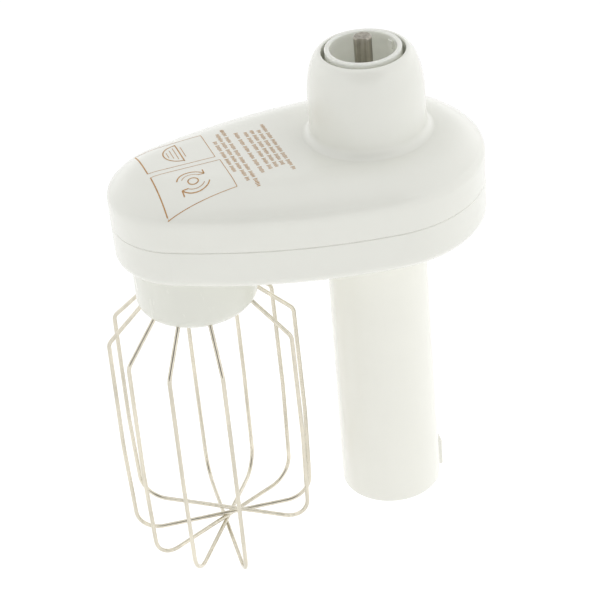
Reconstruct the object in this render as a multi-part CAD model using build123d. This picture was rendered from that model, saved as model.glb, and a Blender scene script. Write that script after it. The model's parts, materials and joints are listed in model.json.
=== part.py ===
from build123d import *
import math
import os

os.makedirs("parts", exist_ok=True)

# ---------------------------------------------------------------- overall sizes
AXIS_GAP = 74.0          # drive axis to whisk axis
DRIVE_END_R = 44.6       # plan radius of the housing at the drive axis
WHISK_END_R = 29.6       # plan radius of the housing at the whisk axis
SIDE_R = 218.0           # plan radius of the long sides
Z_BASE = 131.4           # underside of the housing
Z_SEAM = 148.0           # parting plane of the two shells
WALL = 2.4               # shell thickness
BASE_EDGE_R = 4.0        # rounding of the lower shell's bottom edge
CROWN_RISE = 21.9        # crown's top above the parting plane
EDGE_R = 5.5             # tight curve at the top of the cover's wall
CROWN_R = 26.0           # wide curve from there to the flat of the crown
CROWN_REACH = 20.0       # inward distance at which the crown is flat

# ---------------------------------------------------------------- dome and sleeve
DOME_R = 22.65
DOME_SHOULDER_Z = 185.0
DOME_TOP_Z = 204.2
MOUTH_R = 16.1
DOME_WALL = 2.8
DOME_FLARE = 3.4         # fillet between dome and crown
FLARE_SINK = 0.08        # how far the fillet starts below the crown
SLEEVE_OUT_R = 14.75
SLEEVE_IN_R = 12.8
SLEEVE_TOP_Z = 205.2
SLEEVE_FOOT_Z = 150.2
WEB_Z = 157.5
WEB_H = 7.0
BUSH_Z = 166.0
BUSH_LEN = 14.0
SLEEVE_SEAT_T = 3.0      # radial thickness of the dome bush
NIB_COUNT = 2
NIB_START = 17.0
NIB_DEPTH = 1.0
NIB_W = 2.4
NIB_H = 3.2
NIB_DROP = 1.4           # rim to the top of a nib

# ---------------------------------------------------------------- column
COLUMN_TOP_R = 20.0
COLUMN_FOOT_R = 21.0
COLUMN_BORE_R = 18.6
COLUMN_BORE_LEN = 21.0
COLUMN_WALL = 2.0
COLUMN_FLANGE_R = 26.0
COLUMN_FLANGE_T = 2.0
LUG_PROUD = 1.0          # raised locating lug beside the foot
LUG_W = 9.0
LUG_LOW_Z = 2.0
LUG_TOP_Z = 14.5
FLOOR_PAD_T = 1.6
SPIDER_Z = 46.0
SPIDER_T = 3.0

# ---------------------------------------------------------------- shafts and fits
SHAFT_R = 3.5
SHAFT_TOP_Z = 209.7
SHAFT_LOW_Z = 30.3
TIP_RELIEF_Z = 180.0     # shallow groove below the shaft's exposed tip
SHAFT_FLAT = 0.8
SHAFT_FLAT_LEN = 14.0
SPINDLE_R = 4.0
AXLE_R = 2.5
RUN_GAP = 0.05           # radial running clearance
FACE_GAP = 0.4           # axial and loose clearance between moving pieces
SEAT_GAP = 0.02          # clearance of pressed-in bushes
BUSH_T = 2.5             # wall of the drive shaft's bushes
LOW_SEAT_R = 7.0         # seat of the spindle's lower bush and seal
TOP_SEAT_R = 6.5         # seat of the spindle's upper bush
COUPLING_R = 9.0
COUPLING_NECK_R = 6.5
HEX_R = 5.2              # corner radius of the coupling's hexagon recess
POST_R = 5.2             # lower shell's screw posts
POST_TOP_R = 4.6         # cover's screw posts
HEAD_BORE_R = 3.7
SHANK_BORE_R = 1.9
PILOT_R = 1.5

# ---------------------------------------------------------------- gear train
MODULE = 1.0
DRIVER_TEETH = 28
IDLER_TEETH = 36
WHISK_TEETH = 48
PINION_TEETH = 14
SUN_TEETH = 50
PRESSURE_DEG = 20.0
BACKLASH = 0.30
GEAR_Z = 142.0
GEAR_W = 7.0
UPPER_GEAR_Z = 151.2
UPPER_GEAR_W = 5.6
WEB_RECESS = 2.0

# ---------------------------------------------------------------- whisk
HUB_R = 24.2
HUB_TOP_GAP = 0.9
HUB_FLOOR_Z = 107.8
HUB_EDGE_R = 4.6
HUB_WALL = 2.4
HUB_BOSS_R = 8.6
DRIVE_PIN_R = 1.25
DRIVE_PIN_Z = 127.4
DETENT_Z = 121.0
WIRE_R = 0.85
WIRE_HOLE_GAP = 0.06
CAGE_R = 37.9
CAGE_TOP_Z = 93.9
CAGE_LOW_Z = -10.4
CAGE_WAIST = 0.7
TOP_BEND_R = 4.5
CORNER_R = 11.0
WIRE_STEP = 1.76
WIRE_SEAT_Z = 115.0
WIRE_SEAT_R = 11.5
LOOPS = {                # plan angle and level of each loop where the loops cross
    "wire_loop_a": (0.0, 3),
    "wire_loop_b": (150.0, 5),
    "wire_loop_c": (30.0, 2),
    "wire_loop_d": (60.0, 1),
    "wire_loop_e": (92.0, 0),
}

# ---------------------------------------------------------------- derived
IDLER_X = -(DRIVER_TEETH + IDLER_TEETH) * MODULE / 2
WHISK_X = -AXIS_GAP
FLOOR_Z = Z_BASE + WALL
PAD_Z = FLOOR_Z + FLOOR_PAD_T
CROWN_TOP_Z = Z_SEAM + CROWN_RISE
HUB_TOP_Z = Z_BASE - HUB_TOP_GAP
BUSH_TOP_Z = GEAR_Z - 1.6


def rod(radius, z0, z1, x=0.0, y=0.0):
    """Solid round bar along Z."""
    bar = Cylinder(radius, z1 - z0, align=(Align.CENTER, Align.CENTER, Align.MIN))
    return Pos(x, y, z0) * bar


def ring(outer, inner, z0, z1, x=0.0, y=0.0):
    """Plain ring along Z."""
    return rod(outer, z0, z1, x, y) - rod(inner, z0 - 1, z1 + 1, x, y)


def block(x0, x1, y0, y1, z0, z1):
    """Box from its two corners."""
    body = Box(x1 - x0, y1 - y0, z1 - z0, align=(Align.MIN, Align.MIN, Align.MIN))
    return Pos(x0, y0, z0) * body


def plan_angles():
    """Centre of the upper side arc and the angles where it meets the two end arcs."""
    reach1 = SIDE_R - DRIVE_END_R
    reach2 = SIDE_R - WHISK_END_R
    cx = (reach2 ** 2 - reach1 ** 2 - AXIS_GAP ** 2) / (2 * AXIS_GAP)
    cy = math.sqrt(reach1 ** 2 - cx ** 2)
    return cx, cy, math.atan2(cy, -cx), math.atan2(cy, WHISK_X - cx)


def egg(inset, z):
    """Egg-shaped plan outline, moved inwards by inset, at height z."""
    cx, cy, near, far = plan_angles()
    big = DRIVE_END_R - inset
    small = WHISK_END_R - inset
    side = SIDE_R - inset
    half = (near + far) / 2
    t1 = (big * math.cos(near), big * math.sin(near))
    t2 = (WHISK_X + small * math.cos(far), small * math.sin(far))
    crest = (cx + side * math.cos(half), -cy + side * math.sin(half))
    nose = ThreePointArc((t1[0], -t1[1]), (big, 0), t1)
    top = ThreePointArc(t1, crest, t2)
    tail = ThreePointArc(t2, (WHISK_X - small, 0), (t2[0], -t2[1]))
    low = ThreePointArc((t2[0], -t2[1]), (crest[0], -crest[1]), (t1[0], -t1[1]))
    return Pos(0, 0, z) * make_face([nose, top, tail, low])


def crown_section(radius, inset, foot):
    """Section of the cover's edge; radius is the plan radius it is turned at."""
    edge = EDGE_R - inset
    roof = CROWN_R - inset
    drop = math.sqrt((CROWN_R - EDGE_R) ** 2 - (CROWN_REACH - EDGE_R) ** 2)
    roof_z = CROWN_TOP_Z - CROWN_R
    edge_z = roof_z + drop
    turn = math.atan2(drop, CROWN_REACH - EDGE_R)

    def spot(centre, height, r, angle):
        return (radius - centre + r * math.cos(angle), height + r * math.sin(angle))

    wall_foot = (radius - inset, Z_SEAM - foot)
    wall_top = (radius - inset, edge_z)
    knee = spot(EDGE_R, edge_z, edge, turn)
    ridge = (radius - CROWN_REACH, CROWN_TOP_Z - inset)
    return Plane.XZ * make_face([
        Line(wall_foot, wall_top),
        ThreePointArc(wall_top, spot(EDGE_R, edge_z, edge, turn / 2), knee),
        ThreePointArc(knee, spot(CROWN_REACH, roof_z, roof, (turn + math.pi / 2) / 2), ridge),
        Line(ridge, (radius - CROWN_REACH, Z_SEAM - foot)),
        Line((radius - CROWN_REACH, Z_SEAM - foot), wall_foot),
    ])


def crown(inset, foot):
    """Crowned egg block above the parting plane, its skin moved inwards by inset."""
    cx, cy, near, far = plan_angles()
    near = math.degrees(near)
    far = math.degrees(far)
    turns = [
        (DRIVE_END_R, 0, 0, -near, 2 * near),
        (SIDE_R, cx, -cy, near, far - near),
        (WHISK_END_R, WHISK_X, 0, far, 360 - 2 * far),
        (SIDE_R, cx, cy, -far, far - near),
    ]
    body = extrude(egg(CROWN_REACH, Z_SEAM - foot), amount=CROWN_TOP_Z - inset - Z_SEAM + foot)
    for radius, x, y, start, arc in turns:
        wedge = revolve(crown_section(radius, inset, foot), Axis.Z, revolution_arc=arc)
        body += Pos(x, y, 0) * (Rot(0, 0, start) * wedge)
    return body


def dome_profile(inset):
    """Half section of the dome, from the axis outwards; the outer form has a flared foot."""
    r = DOME_R - inset
    top = DOME_TOP_Z - inset
    span = r - MOUTH_R - 0.2
    low = CROWN_TOP_Z - FLARE_SINK
    start = CROWN_TOP_Z - 17
    shoulder = EllipticalCenterArc(
        (r - span, DOME_SHOULDER_Z), span, top - DOME_SHOULDER_Z, start_angle=0, arc_size=90
    )
    lines = [shoulder, Line((r - span, top), (0, top)), Line((0, top), (0, start))]
    if inset > 0:
        lines.append(Line((0, start), (r, start)))
        lines.append(Line((r, start), (r, DOME_SHOULDER_Z)))
        return Plane.XZ * make_face(lines)
    flare = DOME_FLARE
    waist = flare * (1 - math.sqrt(0.5))
    lines.append(Line((0, start), (r + flare, start)))
    lines.append(Line((r + flare, start), (r + flare, low)))
    lines.append(ThreePointArc((r + flare, low), (r + waist, low + waist), (r, low + flare)))
    lines.append(Line((r, low + flare), (r, DOME_SHOULDER_Z)))
    return Plane.XZ * make_face(lines)


def gear(teeth, z0, width, bore, x, tooth_at):
    """Spur gear with involute flanks; one tooth is centred at tooth_at degrees."""
    pitch = teeth * MODULE / 2
    base = pitch * math.cos(math.radians(PRESSURE_DEG))
    tip = pitch + MODULE
    root = pitch - 1.25 * MODULE
    pitch_half = (math.pi * MODULE / 2 - BACKLASH) / (2 * pitch)

    def roll(radius):
        angle = math.acos(min(1.0, base / radius))
        return math.tan(angle) - angle

    points = []
    low = max(base, root)
    radii = [low + (tip - low) * k / 3 for k in range(4)]
    for tooth in range(teeth):
        centre = math.radians(tooth_at) + 2 * math.pi * tooth / teeth
        halves = [pitch_half + roll(pitch) - roll(q) for q in radii]
        if root < low - 0.01:
            points.append((root, centre - halves[0]))
        points += [(q, centre - h) for q, h in zip(radii, halves)]
        points += [(q, centre + h) for q, h in reversed(list(zip(radii, halves)))]
        if root < low - 0.01:
            points.append((root, centre + halves[0]))
    outline = [(q * math.cos(a), q * math.sin(a)) for q, a in points]
    wheel = extrude(make_face(Polyline(*outline, close=True)), amount=width)
    return Pos(x, 0, z0) * (wheel - rod(bore, -1, width + 1))


def ribbed(wheel, rim, hub, z0, width, x):
    """Recess a wheel's web on both faces between hub and rim."""
    for low, high in ((z0 - 1, z0 + WEB_RECESS), (z0 + width - WEB_RECESS, z0 + width + 1)):
        wheel -= ring(rim, hub, low, high, x)
    return wheel


def around(count, radius, start, x=0.0):
    """Points on a circle in plan."""
    turn = [math.radians(start + 360 * k / count) for k in range(count)]
    return [(x + radius * math.cos(a), radius * math.sin(a)) for a in turn]


SCREW_SPOTS = [(25.5, 25.5), (25.5, -25.5), (-50.0, 28.5), (-50.0, -28.5)]
FLANGE_SPOTS = around(4, 23.4, 45)


def screw(x, y, head_z, direction, shank_r, head_r, head_h, length):
    """Pan-head screw; direction +1 drives it upwards."""
    if direction > 0:
        part = rod(head_r, head_z, head_z + head_h, x, y)
        part += rod(shank_r, head_z + head_h, head_z + head_h + length, x, y)
        part -= block(x - 0.4, x + 0.4, y - head_r * 0.7, y + head_r * 0.7, head_z - 1, head_z + 0.9)
        part -= block(x - head_r * 0.7, x + head_r * 0.7, y - 0.4, y + 0.4, head_z - 1, head_z + 0.9)
        return part
    part = rod(head_r, head_z - head_h, head_z, x, y)
    part += rod(shank_r, head_z - head_h - length, head_z - head_h, x, y)
    part -= block(x - 0.35, x + 0.35, y - head_r * 0.7, y + head_r * 0.7, head_z - 0.7, head_z + 1)
    part -= block(x - head_r * 0.7, x + head_r * 0.7, y - 0.35, y + 0.35, head_z - 0.7, head_z + 1)
    return part


def lower_shell():
    """Tray with column socket, bush seats, axle post and screw posts."""
    outer = extrude(egg(0, Z_BASE), amount=Z_SEAM - Z_BASE)
    outer = fillet(outer.edges().group_by(Axis.Z)[0], BASE_EDGE_R)
    outer = chamfer(outer.edges().group_by(Axis.Z)[-1], 0.3)
    inner = extrude(egg(WALL, FLOOR_Z), amount=Z_SEAM - FLOOR_Z + 1)
    inner = fillet(inner.edges().group_by(Axis.Z)[0], BASE_EDGE_R - 1.6)
    shell = outer - inner
    tongue = extrude(egg(WALL - 0.1, Z_SEAM - 4), amount=4 - 0.3)
    tongue += extrude(egg(WALL + 0.12, Z_SEAM - 0.3), amount=2.3)
    shell += tongue - extrude(egg(WALL + 1.3, Z_SEAM - 5), amount=10)
    shell += rod(COLUMN_FLANGE_R + 1.2, FLOOR_Z - 0.5, PAD_Z)
    shell += rod(5.8, FLOOR_Z - 0.5, PAD_Z + 1.0, IDLER_X)
    shell += rod(4.6, FLOOR_Z - 0.5, GEAR_Z - 1.0, IDLER_X)
    shell += rod(LOW_SEAT_R + 2.0, FLOOR_Z - 0.5, BUSH_TOP_Z - 0.8, WHISK_X)
    for x, y in SCREW_SPOTS:
        shell += rod(POST_R, FLOOR_Z - 0.5, Z_SEAM + 1.0, x, y)
        shell -= rod(HEAD_BORE_R, Z_BASE - 1, Z_BASE + 5.0, x, y)
        shell -= rod(SHANK_BORE_R, Z_BASE, Z_SEAM + 2, x, y)
    shell -= rod(COLUMN_TOP_R + 0.1, Z_BASE - 1, PAD_Z + 1)
    shell -= rod(LOW_SEAT_R, Z_BASE - 1, BUSH_TOP_Z, WHISK_X)
    shell -= rod(AXLE_R, FLOOR_Z + 0.6, GEAR_Z, IDLER_X)
    for x, y in FLANGE_SPOTS:
        shell -= rod(1.1, Z_BASE + 1.2, PAD_Z + 1, x, y)
    return shell


def upper_shell():
    """Crowned cover with the hollow dome, bush seats and screw posts."""
    form = crown(0, 0)
    rim = form.edges().filter_by_position(Axis.Z, Z_SEAM - 0.01, Z_SEAM + 0.01)
    shell = chamfer(rim, 0.3)
    shell += revolve(dome_profile(0), Axis.Z)
    shell -= crown(WALL, 1)
    shell -= revolve(dome_profile(DOME_WALL), Axis.Z)
    shell -= rod(MOUTH_R, DOME_TOP_Z - 10, DOME_TOP_Z + 1)
    rims = shell.edges().filter_by(GeomType.CIRCLE)
    lip = rims.filter_by_position(Axis.Z, DOME_TOP_Z - 0.01, DOME_TOP_Z + 0.01)
    shell = fillet(lip.sort_by(SortBy.RADIUS)[0], 0.5)
    posts = rod(TOP_SEAT_R + 1.7, Z_SEAM + 9.0, CROWN_TOP_Z - 1, WHISK_X)
    posts += rod(5.0, UPPER_GEAR_Z + UPPER_GEAR_W + 2.4, CROWN_TOP_Z - 1, IDLER_X)
    for x, y in SCREW_SPOTS:
        posts += rod(POST_TOP_R, Z_SEAM + 1.2, CROWN_TOP_Z - 2, x, y)
    seat = ring(DOME_R - 1, SLEEVE_OUT_R + SLEEVE_SEAT_T, BUSH_Z - 2.2, BUSH_Z + BUSH_LEN)
    shell += seat
    shell += posts & crown(WALL / 2, 0)
    shell -= rod(TOP_SEAT_R, Z_SEAM + 8, Z_SEAM + 16.0, WHISK_X)
    shell -= rod(AXLE_R, Z_SEAM, CROWN_TOP_Z - 4.4, IDLER_X)
    for x, y in SCREW_SPOTS:
        shell -= rod(PILOT_R, Z_SEAM, CROWN_TOP_Z - 9.1, x, y)
    shell -= rod(SLEEVE_OUT_R + SLEEVE_SEAT_T, Z_SEAM - 1, BUSH_Z + BUSH_LEN)
    return shell


def foot_lug():
    """Locating lug on the side of the column's foot."""
    face = COLUMN_FOOT_R + LUG_PROUD
    lug = block(COLUMN_FOOT_R - 1.2, face, -LUG_W / 2, LUG_W / 2, LUG_LOW_Z, LUG_TOP_Z)
    outer_edges = lug.faces().sort_by(Axis.X)[-1].edges()
    return fillet(outer_edges, LUG_PROUD * 0.6)


def column():
    """Tapered tube with a top flange, a foot bore and a spider for the lower bush."""
    standing = (Align.CENTER, Align.CENTER, Align.MIN)
    outer = Cone(COLUMN_FOOT_R, COLUMN_TOP_R, Z_BASE, align=standing)
    outer = fillet(outer.edges().group_by(Axis.Z)[0], 0.8)
    outer += foot_lug()
    outer += rod(COLUMN_TOP_R, Z_BASE - 0.01, PAD_Z + COLUMN_FLANGE_T)
    outer += rod(COLUMN_FLANGE_R, PAD_Z, PAD_Z + COLUMN_FLANGE_T)
    tube = outer - rod(COLUMN_BORE_R, -1, COLUMN_BORE_LEN)
    tube -= rod(COLUMN_TOP_R - COLUMN_WALL, COLUMN_BORE_LEN - 0.01, Z_BASE - 4)
    tube -= rod(14.0, Z_BASE - 5, PAD_Z + 10)
    tube += ring(COLUMN_TOP_R - COLUMN_WALL + 0.3, 8.0, Z_BASE - 4, Z_BASE - 1.5)
    tube += ring(8.5, SHAFT_R + BUSH_T, Z_BASE - 4, PAD_Z + COLUMN_FLANGE_T)
    spider = ring(8.0, SHAFT_R + BUSH_T, SPIDER_Z - 3, SPIDER_Z + SPIDER_T + 4)
    for k in range(3):
        spoke = block(7.0, COLUMN_TOP_R - COLUMN_WALL + 0.4, -1.5, 1.5, SPIDER_Z, SPIDER_Z + SPIDER_T)
        spider += Rot(0, 0, 90 + 120 * k) * spoke
    tube += spider
    for x, y in FLANGE_SPOTS:
        tube -= rod(1.3, PAD_Z - 1, PAD_Z + COLUMN_FLANGE_T + 1, x, y)
    return tube


def drive_shaft():
    """Steel shaft with a flat at its upper end."""
    shaft = rod(SHAFT_R, SHAFT_LOW_Z, SHAFT_TOP_Z)
    shaft = chamfer(shaft.edges().filter_by(GeomType.CIRCLE), 0.5)
    flat = block(-5, 5, SHAFT_R - SHAFT_FLAT, 5, SHAFT_TOP_Z - SHAFT_FLAT_LEN, SHAFT_TOP_Z + 1)
    shaft -= Rot(0, 0, 160) * flat
    shaft -= ring(SHAFT_R + 1, SHAFT_R - 0.3, TIP_RELIEF_Z, TIP_RELIEF_Z + 1.0)
    for z in (SPIDER_Z - 3 - 1.6, GEAR_Z + GEAR_W + 0.5):
        shaft -= ring(SHAFT_R + 1, SHAFT_R - 0.6, z, z + 0.9)
    return shaft


def clip(x, radius, z):
    """Open retaining ring in a shaft groove."""
    part = ring(radius + 2.0, radius - 0.6, z + 0.05, z + 0.85, x)
    return part - block(x - 1.6, x + 1.6, 0, radius + 4, z - 1, z + 2)


def drive_coupling():
    """Socket with a hexagon recess that is driven from below."""
    body = rod(COUPLING_R, COLUMN_BORE_LEN + 1.5, SHAFT_LOW_Z + 4.0)
    body = fillet(body.edges().group_by(Axis.Z)[0], 1.0)
    body += rod(COUPLING_NECK_R, SHAFT_LOW_Z + 3.5, SPIDER_Z - 6.0)
    body -= rod(SHAFT_R, SHAFT_LOW_Z, SPIDER_Z)
    recess = extrude(RegularPolygon(HEX_R, 6), amount=SHAFT_LOW_Z - 0.3 - COLUMN_BORE_LEN)
    body -= Pos(0, 0, COLUMN_BORE_LEN) * recess
    return body


def guide_sleeve():
    """Sleeve in the dome's mouth with two inner nibs and a web for the inner bush."""
    body = ring(SLEEVE_OUT_R, SLEEVE_IN_R, SLEEVE_FOOT_Z, SLEEVE_TOP_Z)
    body = fillet(body.edges().group_by(Axis.Z)[-1], 0.5)
    for k in range(NIB_COUNT):
        nib = block(SLEEVE_IN_R - NIB_DEPTH, SLEEVE_IN_R + 0.8, -NIB_W / 2, NIB_W / 2, 0, NIB_H)
        turn = NIB_START + 360 / NIB_COUNT * k
        body += Rot(0, 0, turn) * Pos(0, 0, SLEEVE_TOP_Z - NIB_H - NIB_DROP) * nib
    body += ring(SLEEVE_IN_R + 0.5, SHAFT_R + BUSH_T, WEB_Z, WEB_Z + WEB_H)
    body += ring(SLEEVE_OUT_R + 2.4, SLEEVE_OUT_R - 0.5, BUSH_Z - 5.0, BUSH_Z - 3.0)
    groove_z = BUSH_Z + BUSH_LEN + 0.4
    body -= ring(SLEEVE_OUT_R + 1, SLEEVE_OUT_R - 0.5, groove_z, groove_z + 1.2)
    return body


def sleeve_clip():
    """Retaining ring above the dome bush."""
    z = BUSH_Z + BUSH_LEN + 0.4
    part = ring(SLEEVE_OUT_R + 1.8, SLEEVE_OUT_R - 0.5, z + 0.05, z + 1.15)
    return part - block(-2.0, 2.0, 0, SLEEVE_OUT_R + 4, z - 1, z + 3)


def sleeve_bush():
    """Bush between dome and sleeve."""
    outer = SLEEVE_OUT_R + SLEEVE_SEAT_T - SEAT_GAP
    return ring(outer, SLEEVE_OUT_R + RUN_GAP, BUSH_Z, BUSH_Z + BUSH_LEN - 0.2)


def shaft_bush(z0, z1, shaft_r, seat_r, x=0.0):
    """Plain bush round a shaft."""
    return ring(seat_r - SEAT_GAP, shaft_r + RUN_GAP, z0, z1, x)


def whisk_spindle():
    """Spindle that carries the whisk gear and plugs into the whisk hub."""
    body = rod(SPINDLE_R, WIRE_SEAT_Z + 2.2, Z_SEAM + 15.6, WHISK_X)
    body = chamfer(body.edges().filter_by(GeomType.CIRCLE), 0.6)
    body -= rod(DRIVE_PIN_R, -8, 8).rotate(Axis.X, 90).move(Pos(WHISK_X, 0, DRIVE_PIN_Z))
    z = GEAR_Z + GEAR_W + 0.5
    body -= ring(SPINDLE_R + 1, SPINDLE_R - 0.6, z, z + 0.9, WHISK_X)
    body -= ring(SPINDLE_R + 1, SPINDLE_R - 0.6, DETENT_Z - 1.2, DETENT_Z + 1.2, WHISK_X)
    return body


def drive_pin():
    """Cross pin that turns the whisk hub."""
    return rod(DRIVE_PIN_R, -6.6, 6.6).rotate(Axis.X, 90).move(Pos(WHISK_X, 0, DRIVE_PIN_Z))


def hub_cup():
    """Cup of the whisk with a slotted central boss and one hole for every wire."""
    cup = rod(HUB_R, HUB_FLOOR_Z, HUB_TOP_Z, WHISK_X)
    cup = fillet(cup.edges().group_by(Axis.Z)[0], HUB_EDGE_R)
    cup = fillet(cup.edges().group_by(Axis.Z)[-1], 0.6)
    hollow = rod(HUB_R - HUB_WALL, WIRE_SEAT_Z - WIRE_R - 0.05, HUB_TOP_Z + 1, WHISK_X)
    cup -= hollow
    cup += rod(HUB_BOSS_R, HUB_FLOOR_Z + 2, HUB_TOP_Z - 0.6, WHISK_X)
    cup -= rod(SPINDLE_R + RUN_GAP, WIRE_SEAT_Z + 1.2, HUB_TOP_Z + 1, WHISK_X)
    gap = DRIVE_PIN_R + FACE_GAP
    cup -= block(WHISK_X - gap, WHISK_X + gap, -7.2, 7.2, DRIVE_PIN_Z - gap, HUB_TOP_Z + 1)
    cup -= ring(6.3, SPINDLE_R - 1, DETENT_Z - 1.5, DETENT_Z + 1.5, WHISK_X)
    for angle, _ in LOOPS.values():
        for side in (0, 180):
            hole = wire_hole()
            cup -= Pos(WHISK_X, 0, 0) * (Rot(0, 0, angle + side) * hole)
    return cup


def wire_hole():
    """Sloping hole through the cup's lower edge, in the XZ plane."""
    bar = Cylinder(WIRE_R + WIRE_HOLE_GAP, 16, align=(Align.CENTER, Align.CENTER, Align.MIN))
    foot = CAGE_R - (WIRE_SEAT_Z - CAGE_TOP_Z)
    tilted = Rot(0, 135, 0) * bar
    hole = Pos(foot, 0, WIRE_SEAT_Z) * tilted
    seat = Pos(foot, 0, WIRE_SEAT_Z) * Sphere(WIRE_R + WIRE_HOLE_GAP)
    return hole + seat


def detent_ring():
    """Spring ring that snaps into the spindle's groove."""
    body = ring(5.9, SPINDLE_R - 0.2, DETENT_Z - 0.6, DETENT_Z + 0.6, WHISK_X)
    return body - block(WHISK_X - 1.2, WHISK_X + 1.2, 0, 9, DETENT_Z - 2, DETENT_Z + 2)


def wire_clamp():
    """Disc that holds the wire ends down inside the cup."""
    z = WIRE_SEAT_Z + WIRE_R + 0.02
    return ring(HUB_R - HUB_WALL - 0.2, HUB_BOSS_R + SEAT_GAP, z, z + 2.4, WHISK_X)


def hub_lid():
    """Ring that closes the cup's top round the boss."""
    outer = HUB_R - HUB_WALL - SEAT_GAP
    return ring(outer, HUB_BOSS_R + SEAT_GAP, HUB_TOP_Z - 2.4, HUB_TOP_Z - 0.4, WHISK_X)


def bent_path(corners):
    """Path of straight runs and arcs; corners are (u, z, bend radius)."""
    pieces = []
    last = Vector(corners[0][0], 0, corners[0][1])
    for before, here, after in zip(corners, corners[1:], corners[2:]):
        spot = Vector(here[0], 0, here[1])
        back = (Vector(before[0], 0, before[1]) - spot).normalized()
        ahead = (Vector(after[0], 0, after[1]) - spot).normalized()
        half = math.acos(max(-1.0, min(1.0, back.dot(ahead)))) / 2
        reach = here[2] / math.tan(half)
        mid = (back + ahead).normalized() * (here[2] / math.sin(half) - here[2])
        pieces.append(Line(last, spot + back * reach))
        pieces.append(ThreePointArc(spot + back * reach, spot + mid, spot + ahead * reach))
        last = spot + ahead * reach
    pieces.append(Line(last, Vector(corners[-1][0], 0, corners[-1][1])))
    return Wire(pieces)


def wire_loop(angle, level):
    """One closed-bottom loop of whisk wire across the whisk axis."""
    foot = CAGE_R - (WIRE_SEAT_Z - CAGE_TOP_Z)
    low = CAGE_LOW_Z + WIRE_R + level * WIRE_STEP
    side = [
        (WIRE_SEAT_R, WIRE_SEAT_Z, 0),
        (foot, WIRE_SEAT_Z, 1.6),
        (CAGE_R, CAGE_TOP_Z, TOP_BEND_R),
        (CAGE_R + CAGE_WAIST, CAGE_TOP_Z * 0.45, 120.0),
        (CAGE_R - CAGE_WAIST / 2, low, CORNER_R),
    ]
    other = [(-u, z, bend) for u, z, bend in reversed(side)]
    path = bent_path(side + other)
    start = Plane(origin=(WIRE_SEAT_R, 0, WIRE_SEAT_Z), z_dir=(1, 0, 0))
    body = sweep(start * Circle(WIRE_R), path=path)
    return Pos(WHISK_X, 0, 0) * (Rot(0, 0, angle) * body)


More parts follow.
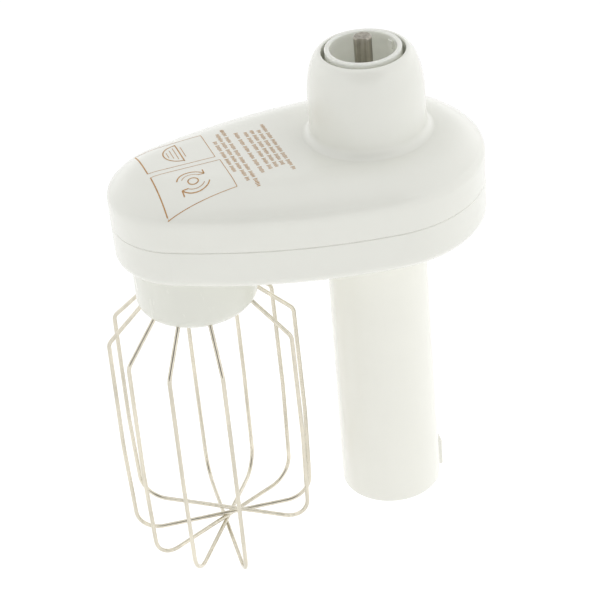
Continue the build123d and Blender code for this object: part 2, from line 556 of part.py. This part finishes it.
def build():
    """All separate pieces by name."""
    nodes = {}
    nodes["lower_shell"] = lower_shell()
    nodes["upper_shell"] = upper_shell()
    nodes["column"] = column()
    shell_screws = [screw(x, y, Z_BASE + 2.6, 1, 1.48, 3.2, 2.4, 21.0) for x, y in SCREW_SPOTS]
    nodes["shell_screws"] = shell_screws
    flange_top = PAD_Z + COLUMN_FLANGE_T + 1.3
    flange_screws = [screw(x, y, flange_top, -1, 1.08, 2.2, 1.3, 4.2) for x, y in FLANGE_SPOTS]
    nodes["column_screws"] = flange_screws
    seat = SHAFT_R + BUSH_T
    nodes["column_top_bush"] = shaft_bush(Z_BASE - 3.5, PAD_Z + 2.0, SHAFT_R, seat)
    nodes["column_foot_bush"] = shaft_bush(SPIDER_Z - 2.5, SPIDER_Z + SPIDER_T + 4, SHAFT_R, seat)
    nodes["dome_bush"] = sleeve_bush()
    low_z = Z_BASE + 3.2
    nodes["spindle_low_bush"] = shaft_bush(low_z, BUSH_TOP_Z - 0.8, SPINDLE_R, LOW_SEAT_R, WHISK_X)
    seal = ring(LOW_SEAT_R - SEAT_GAP, SPINDLE_R + 0.35, Z_BASE + 0.6, low_z - 0.1, WHISK_X)
    nodes["spindle_seal"] = seal
    top_z = Z_SEAM + 9.0
    nodes["spindle_top_bush"] = shaft_bush(top_z, top_z + 6.9, SPINDLE_R, TOP_SEAT_R, WHISK_X)
    nodes["idler_axle"] = rod(AXLE_R - SEAT_GAP, FLOOR_Z + 0.7, CROWN_TOP_Z - 4.6, IDLER_X)
    nodes["drive_shaft"] = drive_shaft()
    half = 180.0 / IDLER_TEETH
    driver = gear(DRIVER_TEETH, GEAR_Z, GEAR_W, SHAFT_R, 0, 180)
    nodes["driver_gear"] = ribbed(driver, 11.0, 6.5, GEAR_Z, GEAR_W, 0)
    nodes["drive_coupling"] = drive_coupling()
    nodes["shaft_clip_low"] = clip(0, SHAFT_R, SPIDER_Z - 3 - 1.6)
    nodes["shaft_clip_top"] = clip(0, SHAFT_R, GEAR_Z + GEAR_W + 0.5)
    idler = gear(IDLER_TEETH, GEAR_Z, GEAR_W, AXLE_R + 1.5, IDLER_X, half)
    nodes["idler_wheel"] = ribbed(idler, 15.5, 7.0, GEAR_Z, GEAR_W, IDLER_X)
    pinion_z = UPPER_GEAR_Z - 0.4
    pinion = gear(PINION_TEETH, pinion_z, UPPER_GEAR_W + 0.8, AXLE_R + RUN_GAP, IDLER_X, 0)
    pinion += ring(AXLE_R + 1.48, AXLE_R + RUN_GAP, GEAR_Z, pinion_z + 0.01, IDLER_X)
    pinion += ring(5.5, AXLE_R + 1.0, GEAR_Z + GEAR_W + 0.02, pinion_z + 0.01, IDLER_X)
    nodes["idler_pinion"] = pinion
    nodes["idler_washer_low"] = ring(4.4, AXLE_R + RUN_GAP, GEAR_Z - 0.9, GEAR_Z - 0.1, IDLER_X)
    washer_z = UPPER_GEAR_Z + UPPER_GEAR_W + 0.5
    nodes["idler_washer_top"] = ring(4.8, AXLE_R + RUN_GAP, washer_z, washer_z + 0.8, IDLER_X)
    nodes["guide_sleeve"] = guide_sleeve()
    sun_gap = 180.0 + 180.0 / SUN_TEETH
    nodes["sun_gear"] = gear(SUN_TEETH, UPPER_GEAR_Z, UPPER_GEAR_W, SLEEVE_OUT_R, 0, sun_gap)
    nodes["sleeve_inner_bush"] = shaft_bush(WEB_Z - 0.5, WEB_Z + WEB_H, SHAFT_R, seat)
    nodes["sleeve_clip"] = sleeve_clip()
    nodes["whisk_spindle"] = whisk_spindle()
    wheel = gear(WHISK_TEETH, GEAR_Z, GEAR_W, SPINDLE_R, WHISK_X, 0)
    nodes["whisk_gear"] = ribbed(wheel, 20.5, 7.5, GEAR_Z, GEAR_W, WHISK_X)
    nodes["spindle_clip"] = clip(WHISK_X, SPINDLE_R, GEAR_Z + GEAR_W + 0.5)
    nodes["drive_pin"] = drive_pin()
    nodes["whisk_hub"] = hub_cup()
    nodes["hub_lid"] = hub_lid()
    nodes["wire_clamp"] = wire_clamp()
    nodes["detent_ring"] = detent_ring()
    for name, (angle, level) in LOOPS.items():
        nodes[name] = wire_loop(angle, level)
    return nodes


for name, shape in build().items():
    if isinstance(shape, list):
        shape = Compound(children=shape)
    export_step(shape, f"parts/{name}.step")
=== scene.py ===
import json
import math
import bmesh
import bpy
from mathutils import Matrix, Vector


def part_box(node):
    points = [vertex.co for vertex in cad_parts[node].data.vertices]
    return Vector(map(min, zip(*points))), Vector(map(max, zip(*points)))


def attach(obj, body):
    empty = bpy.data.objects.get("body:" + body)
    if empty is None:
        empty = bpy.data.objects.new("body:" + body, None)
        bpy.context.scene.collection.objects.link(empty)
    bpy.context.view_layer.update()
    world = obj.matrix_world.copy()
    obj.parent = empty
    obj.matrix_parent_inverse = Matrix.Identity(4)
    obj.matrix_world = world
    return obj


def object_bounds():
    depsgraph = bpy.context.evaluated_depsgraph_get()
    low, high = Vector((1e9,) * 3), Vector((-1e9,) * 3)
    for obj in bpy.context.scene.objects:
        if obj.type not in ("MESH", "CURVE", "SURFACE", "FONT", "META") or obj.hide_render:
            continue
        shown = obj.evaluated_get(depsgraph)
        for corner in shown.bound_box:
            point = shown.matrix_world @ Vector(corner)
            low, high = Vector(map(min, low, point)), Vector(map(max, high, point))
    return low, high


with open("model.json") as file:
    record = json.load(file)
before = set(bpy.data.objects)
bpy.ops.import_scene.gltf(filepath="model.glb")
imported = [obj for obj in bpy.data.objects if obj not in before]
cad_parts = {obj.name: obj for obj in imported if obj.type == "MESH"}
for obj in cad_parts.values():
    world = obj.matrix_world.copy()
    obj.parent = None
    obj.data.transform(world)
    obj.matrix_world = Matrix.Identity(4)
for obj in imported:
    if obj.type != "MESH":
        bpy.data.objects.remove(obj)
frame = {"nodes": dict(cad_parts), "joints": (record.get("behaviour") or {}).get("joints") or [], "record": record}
CAD_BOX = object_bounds()
MM = 0.001

# ---------------------------------------------------------------- node helpers


class Graph:
    """Shorthand for building one node tree."""

    def __init__(self, tree):
        self.tree = tree

    def add(self, kind, **settings):
        node = self.tree.nodes.new(kind)
        for key, value in settings.items():
            setattr(node, key, value)
        return node

    def link(self, a, b):
        self.tree.links.new(a, b)

    def span(self, fac, low, high, out_low, out_high, ease="LINEAR"):
        """Map low..high of fac to out_low..out_high."""
        node = self.add("ShaderNodeMapRange", interpolation_type=ease)
        limits = {"From Min": low, "From Max": high, "To Min": out_low, "To Max": out_high}
        for key, value in limits.items():
            node.inputs[key].default_value = value
        self.link(fac, node.inputs["Value"])
        return node.outputs["Result"]

    def math(self, how, a, b):
        node = self.add("ShaderNodeMath", operation=how)
        for socket, value in zip(node.inputs, (a, b)):
            if isinstance(value, (int, float)):
                socket.default_value = value
            else:
                self.link(value, socket)
        return node.outputs[0]


class Nodes(Graph):
    """One procedural material; its patterns are placed in the row frame."""

    def __init__(self, name):
        self.mat = bpy.data.materials.new(name)
        self.mat.use_nodes = True
        super().__init__(self.mat.node_tree)
        self.shader = self.tree.nodes["Principled BSDF"]
        self.place = self.add("ShaderNodeTexCoord").outputs["Object"]

    def put(self, **values):
        """Set constants on the shader's own sockets."""
        for key, value in values.items():
            self.shader.inputs[key.replace("_", " ")].default_value = value

    def feed(self, source, socket):
        """Feed one of the shader's sockets."""
        self.link(source, self.shader.inputs[socket])

    def noise(self, scale, detail=3.0, rough=0.55, stretch=(1, 1, 1), seat=0.0):
        """Noise; seat moves it, so that no two materials share a pattern."""
        spot = self.add("ShaderNodeMapping")
        spot.inputs["Scale"].default_value = stretch
        spot.inputs["Location"].default_value = (seat, seat * 0.7, seat * 0.4)
        self.link(self.place, spot.inputs["Vector"])
        tex = self.add("ShaderNodeTexNoise")
        tex.inputs["Scale"].default_value = scale
        tex.inputs["Detail"].default_value = detail
        tex.inputs["Roughness"].default_value = rough
        self.link(spot.outputs["Vector"], tex.inputs["Vector"])
        return tex.outputs["Fac"]

    def blend(self, fac, low, dark, high, light):
        """Colour from dark at low to light at high."""
        node = self.add("ShaderNodeValToRGB")
        stops = ((low, dark), (high, light))
        for element, (at, color) in zip(node.color_ramp.elements, stops):
            element.position = at
            element.color = (*color, 1.0)
        self.link(fac, node.inputs["Fac"])
        return node.outputs["Color"]

    def bumps(self, *layers):
        """Chain of bumps; each layer is (height, strength, distance in metres)."""
        normal = None
        for height, strength, distance in layers:
            node = self.add("ShaderNodeBump")
            node.inputs["Strength"].default_value = strength
            node.inputs["Distance"].default_value = distance
            self.link(height, node.inputs["Height"])
            if normal is not None:
                self.link(normal, node.inputs["Normal"])
            normal = node.outputs["Normal"]
        self.feed(normal, "Normal")


def scaled(color, factor):
    """Colour made lighter or darker, never above white."""
    return tuple(min(1.0, c * factor) for c in color)


# ---------------------------------------------------------------- materials
TINT_SPREAD = 0.015      # how much the moulded plastic's tint wanders
SCUFF_ROUGH = 0.05       # roughness added by rub marks
GLOW_DEPTH = 0.006       # depth below the sleeve's rim where its glow is full
GLOW_RIM = 0.001         # depth below the rim where the glow has faded out
GLOW = 0.15              # stands in for light caught between the sleeve's walls
SLEEVE_SCATTER = 0.008   # how far light spreads inside the thin sleeve
DULL_SHARE = 0.9         # darkening of steel by its stains, on top of streak
STAIN_ROUGH = 0.12       # roughness added where steel is stained


def plastic(name, color, rough, seat=0.0):
    """Glossy moulded plastic: cloudy tint, fine orange peel and faint rub marks."""
    m = Nodes(name)
    cloud = m.noise(scale=38.0, detail=4.0, rough=0.6, seat=seat)
    dark = scaled(color, 1 - TINT_SPREAD)
    light = scaled(color, 1 + TINT_SPREAD / 2)
    m.feed(m.blend(cloud, 0.3, dark, 0.7, light), "Base Color")
    scuff = m.noise(scale=180.0, detail=5.0, rough=0.6, stretch=(1, 1, 0.25), seat=seat + 3)
    m.feed(m.span(scuff, 0.35, 0.75, rough, rough + SCUFF_ROUGH), "Roughness")
    peel = m.noise(scale=700.0, detail=2.0, rough=0.4, seat=seat + 7)
    sink = m.noise(scale=45.0, detail=1.0, rough=0.3, seat=seat + 9)
    m.bumps((sink, 0.03, 0.0006), (peel, 0.03, 0.0001))
    m.put(IOR=1.49, Coat_Weight=0.4, Coat_Roughness=0.06, Specular_IOR_Level=0.5)
    return m


def moulded(name, color, rough, seat=0.0):
    """Opaque moulded plastic."""
    return plastic(name, color, rough, seat).mat


def thin_moulded_painted_glow(name, color, rough, seat=0.0):
    """Moulded plastic that lets light through, as inside the thin sleeve, with a painted glow below its rim."""
    m = plastic(name, color, rough, seat)
    m.put(
        Subsurface_Weight=0.6, Subsurface_Scale=SLEEVE_SCATTER,
        Subsurface_Radius=(1.0, 1.0, 0.9), Emission_Color=(*color, 1.0),
    )
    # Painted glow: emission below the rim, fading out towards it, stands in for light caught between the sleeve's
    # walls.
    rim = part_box("guide_sleeve")[1].z
    split = m.add("ShaderNodeSeparateXYZ")
    m.link(m.place, split.inputs["Vector"])
    glow = m.span(split.outputs["Z"], rim - GLOW_DEPTH, rim - GLOW_RIM, GLOW, 0.0)
    m.feed(glow, "Emission Strength")
    return m.mat


def metal(name, color, rough, stretch, grain=500.0, seat=0.0, streak=0.85):
    """Drawn or ground metal with lengthwise grain and light tarnish."""
    m = Nodes(name)
    lines = m.noise(scale=grain, detail=3.0, rough=0.6, stretch=stretch, seat=seat)
    stain = m.noise(scale=60.0, detail=5.0, rough=0.65, seat=seat + 2)
    tone = m.math(
        "ADD", m.span(lines, 0.35, 0.65, 0.0, 0.5), m.span(stain, 0.3, 0.65, 0.0, 0.5)
    )
    dull = scaled(color, streak * DULL_SHARE)
    m.feed(m.blend(tone, 0.15, dull, 0.8, color), "Base Color")
    m.feed(m.span(tone, 0.0, 1.0, rough + STAIN_ROUGH, rough), "Roughness")
    m.bumps((lines, 0.12, 0.00005))
    m.put(Metallic=1.0)
    return m.mat


def matte(name, color, rough, shade=0.08, seat=0.0):
    """Dull moulded or rubber surface."""
    m = Nodes(name)
    cloud = m.noise(scale=70.0, detail=4.0, rough=0.6, seat=seat)
    m.feed(m.blend(cloud, 0.3, scaled(color, 1 - shade), 0.7, color), "Base Color")
    grit = m.noise(scale=400.0, detail=4.0, rough=0.6, seat=seat + 4)
    m.feed(m.span(grit, 0.3, 0.7, rough - 0.06, rough + 0.08), "Roughness")
    m.bumps((grit, 0.25, 0.00008))
    return m.mat


LENGTHWISE = (1, 1, 0.03)    # grain drawn out along the shafts
ALONG_WIRE = (1, 1, 0.08)    # grain drawn out along the wires

LOOKS = {
    "white_shell": moulded("shell_white", (0.800, 0.803, 0.745), 0.22),
    "white_sleeve": thin_moulded_painted_glow("sleeve_white", (0.76, 0.77, 0.70), 0.2, seat=11.0),
    # The hub's white is a darker copy of the shells' white: painted shade.
    "white_hub": moulded("hub_white_painted_shade", (0.765, 0.77, 0.70), 0.24, seat=23.0),
    "gear_plastic": matte("gear_acetal", (0.78, 0.75, 0.64), 0.42, seat=31.0),
    "dark_plastic": matte("coupling_dark", (0.03, 0.03, 0.033), 0.5, shade=0.3, seat=37.0),
    "bronze": metal("bush_bronze", (0.55, 0.36, 0.17), 0.38, (1, 1, 1), seat=41.0),
    "seal_rubber": matte("seal_black", (0.02, 0.02, 0.02), 0.62, shade=0.3, seat=43.0),
    "steel": metal(
        "steel_ground", (0.46, 0.43, 0.37), 0.26, LENGTHWISE, grain=900.0, seat=47.0,
        streak=0.55,
    ),
    "whisk_wire": metal(
        "wire_drawn", (0.76, 0.715, 0.60), 0.14, ALONG_WIRE, seat=53.0, streak=0.9
    ),
}
# The column gets a lighter, slightly warmer copy of the shells' white; its extra lightness is painted light for
# the stronger light it gets from below and in front.
TUBE_PAINTED_LIGHT = moulded("tube_white_painted_light", (0.865, 0.862, 0.79), 0.2, seat=61.0)


def dress_frame():
    """Give every CAD piece the look of its material slot."""
    slot_of = {s["node"]: s["material_slot"] for s in frame["record"]["subparts"]}
    for node, obj in frame["nodes"].items():
        obj.data.materials.clear()
        obj.data.materials.append(TUBE_PAINTED_LIGHT if node == "column" else LOOKS[slot_of[node]])
        for face in obj.data.polygons:
            face.material_index = 0


dress_frame()

# ---------------------------------------------------------------- crown of the cover
# The cover's own curves, in mm as in the CAD: plan radii of its two ends and its long
# sides, then the section of its rim, a tight curve and a wide one up to the flat crown.
NOSE_R, TAIL_R, FLANK_R = 44.6, 29.6, 218.0
CROWN_EDGE_R, CROWN_ROOF_R, CROWN_REACH = 5.5, 26.0, 20.0
JOINT_X = {j["name"]: j["pos_m"][0] / MM for j in frame["joints"] if "pos_m" in j}
AXIS_GAP = JOINT_X["drive_spin"] - JOINT_X["spindle_spin"]


def crown_top():
    """Height of the flat of the crown, in mm: the cover's highest point at the whisk end."""
    cover = frame["nodes"]["upper_shell"].data.vertices
    return max(v.co.z for v in cover if v.co.x < -AXIS_GAP / 2 * MM) / MM


def flank():
    """Centre of the upper long side and the angles where it meets the two end arcs."""
    reach1, reach2 = FLANK_R - NOSE_R, FLANK_R - TAIL_R
    cx = (reach2 ** 2 - reach1 ** 2 - AXIS_GAP ** 2) / (2 * AXIS_GAP)
    cy = math.sqrt(reach1 ** 2 - cx ** 2)
    return cx, cy, math.atan2(cy, -cx), math.atan2(cy, -AXIS_GAP - cx)


CROWN_TOP = crown_top()
SIDE_X, SIDE_Y, NEAR, FAR = flank()


def inset_of(x, y):
    """Distance in from the cover's plan outline, in mm."""
    y = abs(y)
    angle = math.atan2(y + SIDE_Y, x - SIDE_X)
    if angle < NEAR:
        return NOSE_R - math.hypot(x, y)
    if angle > FAR:
        return TAIL_R - math.hypot(x + AXIS_GAP, y)
    return FLANK_R - math.hypot(x - SIDE_X, y + SIDE_Y)


def crown_height(x, y):
    """Height of the crown's skin over a plan point, in mm."""
    d = inset_of(x, y)
    if d >= CROWN_REACH:
        return CROWN_TOP
    across, slant = CROWN_REACH - CROWN_EDGE_R, CROWN_ROOF_R - CROWN_EDGE_R
    drop = math.sqrt(slant ** 2 - across ** 2)
    knee = CROWN_EDGE_R * (1 - across / slant)
    base = CROWN_TOP - CROWN_ROOF_R
    if d >= knee:
        return base + math.sqrt(CROWN_ROOF_R ** 2 - (CROWN_REACH - d) ** 2)
    return base + drop + math.sqrt(CROWN_EDGE_R ** 2 - (CROWN_EDGE_R - max(d, 0.0)) ** 2)


# ---------------------------------------------------------------- print on the crown
# All in mm, in the print's own axes: v runs along the housing and u across it.
PRINT_AT = Vector((14.0 - AXIS_GAP, 0.0))  # a little inboard of the whisk axis
PRINT_TURN = math.radians(7.0)
ALONG = Vector((math.cos(PRINT_TURN), math.sin(PRINT_TURN)))
ACROSS = Vector((math.sin(PRINT_TURN), -math.cos(PRINT_TURN)))
INK_LIFT = 0.04          # ink above the skin
INK_STEP = 1.2           # longest straight piece of a stroke
THIN, BOLD = 0.28, 0.5   # stroke widths

BOWL_PANEL = (-27.5, -0.6, -18.6, 0.2)     # low and high v, low and high u
TURN_PANEL = (-27.3, 0.4, 3.1, 23.6)
BOWL_AT = (-12.0, -9.2)
BOWL_RIM, BOWL_R = 7.0, 6.4                # half the rim's length, and the bowl's radius
LEVELS, LEVEL_STEP = 3, 1.6
LEVEL_HALF, LEVEL_TAPER = 4.6, 1.3         # half the top level line, less per line down
LID_RISE, LID_HALF = 1.4, 4.0
TURN_AT = (-13.5, 13.2)
TURN_HUB_R, TURN_IN_R, TURN_OUT_R = 2.0, 4.4, 6.2
ARROW_STARTS, ARROW_SWEEP = (20, 200), 130  # degrees
TRACK_LAG, TRACK_SWEEP = 10, 100
HEAD_SWEEP, HEAD_SPREAD = 18, 2.0

TICK_H, TICK_W, TICK_GAP = 1.25, 0.42, 0.82
TALL_TICK = 1.35         # every third tick is this many times as tall
FIRST_ROW, ROW_STEP = 2.7, 2.6
ROW_BREAKS = {3: 1.6, 4: 0.9}              # extra gap before these rows
ROWS = (
    (-10.5, 16.0), (-15.6, 22.5), (-18.3, 27.0), (-13.2, 20.5),
    (-12.0, 19.0), (-12.3, 18.6), (-11.1, 18.4), (-14.9, 23.0),
)


def at(v, u):
    """Plan point from the print's own axes."""
    return PRINT_AT + ALONG * v + ACROSS * u


def on_ring(v, u, radius, degrees):
    """Plan point on a circle about (v, u)."""
    turn = math.radians(degrees)
    return at(v + radius * math.cos(turn), u + radius * math.sin(turn))


class Print:
    """Thin ink strips laid over the crown; strokes are given in plan."""

    def __init__(self):
        self.bm = bmesh.new()

    def lift(self, x, y):
        return Vector((x, y, crown_height(x, y) + INK_LIFT)) * MM

    def stroke(self, a, b, width):
        count = max(1, math.ceil((b - a).length / INK_STEP))
        side = (b - a).normalized().orthogonal() * (width / 2)
        rows = []
        for k in range(count + 1):
            p = a.lerp(b, k / count)
            rows.append([self.bm.verts.new(self.lift(*(p + side * t))) for t in (1, -1)])
        for one, two in zip(rows, rows[1:]):
            self.bm.faces.new((one[0], two[0], two[1], one[1]))

    def path(self, points, width):
        for a, b in zip(points, points[1:]):
            self.stroke(a, b, width)

    def arc(self, v, u, radius, start, sweep, width, count=20):
        ring = [on_ring(v, u, radius, start + sweep * k / count) for k in range(count + 1)]
        self.path(ring, width)

    def panel(self, v0, v1, u0, u1):
        """Rectangle with a bold side towards the whisk."""
        a, b, c, d = at(v0, u0), at(v1, u0), at(v1, u1), at(v0, u1)
        self.path([a, b, c, d], THIN)
        self.stroke(d, a, BOLD)

    def done(self, name, material):
        bmesh.ops.recalc_face_normals(self.bm, faces=self.bm.faces)
        for face in self.bm.faces:
            if face.normal.z < 0:
                face.normal_flip()
        mesh = bpy.data.meshes.new(name)
        self.bm.to_mesh(mesh)
        self.bm.free()
        obj = bpy.data.objects.new(name, mesh)
        bpy.context.scene.collection.objects.link(obj)
        mesh.materials.append(material)
        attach(obj, "housing")


def bowl_mark(ink, v, u):
    """Bowl in side view: rim, round bottom, level lines inside and a lid line above."""
    ink.stroke(at(v, u - BOWL_RIM), at(v, u + BOWL_RIM), BOLD)
    ink.arc(v, u, BOWL_R, 90, 180, BOLD)
    for k in range(LEVELS):
        half = LEVEL_HALF - LEVEL_TAPER * k
        low = v - LEVEL_STEP * (k + 1)
        ink.stroke(at(low, u - half), at(low, u + half), THIN)
    ink.stroke(at(v + LID_RISE, u - LID_HALF), at(v + LID_RISE, u + LID_HALF), THIN)


def turn_mark(ink, v, u):
    """Two curved arrows chasing each other round a hub."""
    ink.arc(v, u, TURN_HUB_R, 0, 360, BOLD, 14)
    for start in ARROW_STARTS:
        end = start + ARROW_SWEEP
        ink.arc(v, u, TURN_OUT_R, start, ARROW_SWEEP, BOLD)
        ink.arc(v, u, TURN_IN_R, start + TRACK_LAG, TRACK_SWEEP, THIN)
        point = on_ring(v, u, TURN_OUT_R, end)
        for r in (TURN_OUT_R - HEAD_SPREAD, TURN_OUT_R + HEAD_SPREAD):
            ink.stroke(on_ring(v, u, r, end - HEAD_SWEEP), point, BOLD)


def tick_row(ink, v, start, end, seed):
    """Groups of three to eight ticks with a space between groups; seed shifts the pattern."""
    u, step = start, seed
    while u < end - TICK_GAP:
        for _ in range(3 + (step * 5) % 6):
            tall = TICK_H * (1.0 if step % 3 else TALL_TICK)
            if u < end:
                ink.stroke(at(v - tall / 2, u), at(v + tall / 2, u), TICK_W)
            u += TICK_GAP
            step += 1
        u += TICK_GAP


def brown_ink():
    """Slightly patchy printed brown."""
    m = Nodes("ink_brown")
    patch = m.noise(scale=900.0, detail=3.0, rough=0.6)
    tint = m.blend(patch, 0.35, (0.42, 0.21, 0.06), 0.65, (0.54, 0.31, 0.11))
    m.feed(tint, "Base Color")
    m.feed(m.span(patch, 0.3, 0.7, 0.38, 0.5), "Roughness")
    m.bumps((patch, 0.1, 0.00003))
    return m.mat


def add_print():
    """Generic guide print: two framed marks and rows of plain ticks."""
    brown = brown_ink()
    marks = Print()
    marks.panel(*BOWL_PANEL)
    marks.panel(*TURN_PANEL)
    bowl_mark(marks, *BOWL_AT)
    turn_mark(marks, *TURN_AT)
    marks.done("print_frames", brown)
    rows = Print()
    v = FIRST_ROW
    for k, (start, end) in enumerate(ROWS):
        v += ROW_BREAKS.get(k, 0.0)
        tick_row(rows, v, start, end, k)
        v += ROW_STEP
    rows.done("print_rows", brown)


add_print()

# ---------------------------------------------------------------- camera
CAM_AZ, CAM_EL, CAM_ROLL = -9.873, 34.10, 5.444    # degrees; azimuth 0 is the front
CAM_DISTANCE = 0.80189
CAM_TARGET = Vector((-0.03307, 0.0, 0.09716))
FOCAL_PX = 1985.99
IMAGE_PX = 600.0
SENSOR_MM = 36.0


def toward(azimuth, elevation):
    """Unit vector; azimuth 0 is the front, as for the views."""
    a, e = math.radians(azimuth), math.radians(elevation)
    return Vector((math.sin(a) * math.cos(e), -math.cos(a) * math.cos(e), math.sin(e)))


def add_camera():
    back = toward(CAM_AZ, CAM_EL)
    right = (-back).cross(Vector((0, 0, 1))).normalized()
    up = right.cross(-back)
    roll = math.radians(CAM_ROLL)
    x = right * math.cos(roll) - up * math.sin(roll)
    y = right * math.sin(roll) + up * math.cos(roll)
    data = bpy.data.cameras.new("camera")
    data.sensor_width = SENSOR_MM
    data.lens = FOCAL_PX * SENSOR_MM / IMAGE_PX
    data.clip_start, data.clip_end = 0.02, 60.0
    cam = bpy.data.objects.new("camera", data)
    turn = Matrix((x, y, back)).transposed().to_4x4()
    cam.matrix_world = Matrix.Translation(CAM_TARGET + back * CAM_DISTANCE) @ turn
    bpy.context.scene.collection.objects.link(cam)
    bpy.context.scene.camera = cam


add_camera()

# ---------------------------------------------------------------- stage
FLOOR_DROP = 0.07        # floor below the object's lowest point
FLOOR_HALF = 12.0        # half the floor's side
GLOW_NEAR, GLOW_FAR = 0.26, 0.17           # the floor's glow under the object and away from it
NEAR_REACH, FAR_REACH = 0.1, 0.45          # where the one ends and the other begins

WIDE = (0.0, 1.0)        # cosines of a patch's outer and inner rim: a whole half of the tent
SPOT = (0.766, 0.940)    # 40 and 20 degrees
TENT = 1.26              # strength of the tent where no patch falls
PATCHES = (
    (toward(0, 90), WIDE, -0.14),
    (toward(-9.9, 43), SPOT, -0.90),       # darker opening around the camera
    (toward(170, 35), SPOT, -0.35),        # darker wall, mirrored by the crown
    (toward(-90, 11), WIDE, -0.16),
    (toward(90, 11), WIDE, 0.06),
    (toward(180, 17), WIDE, 0.10),
)


def add_floor():
    """Pale floor that glows softly under the object, like a light table."""
    low, half = CAD_BOX[0].z - FLOOR_DROP, FLOOR_HALF
    mesh = bpy.data.meshes.new("floor")
    corners = [(-half, -half, low), (half, -half, low), (half, half, low), (-half, half, low)]
    mesh.from_pydata(corners, [], [(0, 1, 2, 3)])
    floor = bpy.data.objects.new("floor", mesh)
    bpy.context.scene.collection.objects.link(floor)
    m = Nodes("floor_pale")
    cloud = m.noise(scale=3.0, detail=2.0)
    m.feed(m.blend(cloud, 0.2, (0.93, 0.93, 0.93), 0.8, (0.95, 0.95, 0.95)), "Base Color")
    flat = m.add("ShaderNodeMapping")
    flat.inputs["Scale"].default_value = (1.0, 1.0, 0.0)
    m.link(m.place, flat.inputs["Vector"])
    reach = m.add("ShaderNodeVectorMath", operation="LENGTH")
    m.link(flat.outputs["Vector"], reach.inputs[0])
    glow = m.span(reach.outputs["Value"], NEAR_REACH, FAR_REACH, GLOW_NEAR, GLOW_FAR)
    m.feed(glow, "Emission Strength")
    m.put(Roughness=0.9, Specular_IOR_Level=0.1, Emission_Color=(1, 1, 1, 1))
    mesh.materials.append(m.mat)


def add_world(base, patches):
    """White tent; each patch is (direction, cosines of its rims, added strength)."""
    world = bpy.data.worlds.new("studio")
    world.use_nodes = True
    g = Graph(world.node_tree)
    spot = g.add("ShaderNodeTexCoord")
    total = base
    for direction, (outer, inner), gain in patches:
        dot = g.add("ShaderNodeVectorMath", operation="DOT_PRODUCT")
        dot.inputs[1].default_value = direction
        g.link(spot.outputs["Generated"], dot.inputs[0])
        share = g.span(dot.outputs["Value"], outer, inner, 0.0, gain, "SMOOTHSTEP")
        total = g.math("ADD", share, total)
    sky = g.tree.nodes["Background"]
    g.link(total, sky.inputs["Strength"])
    sky.inputs["Color"].default_value = (1.0, 1.0, 1.0, 1.0)
    bpy.context.scene.world = world


add_floor()
add_world(TENT, PATCHES)
bpy.context.scene.view_settings.view_transform = "Standard"
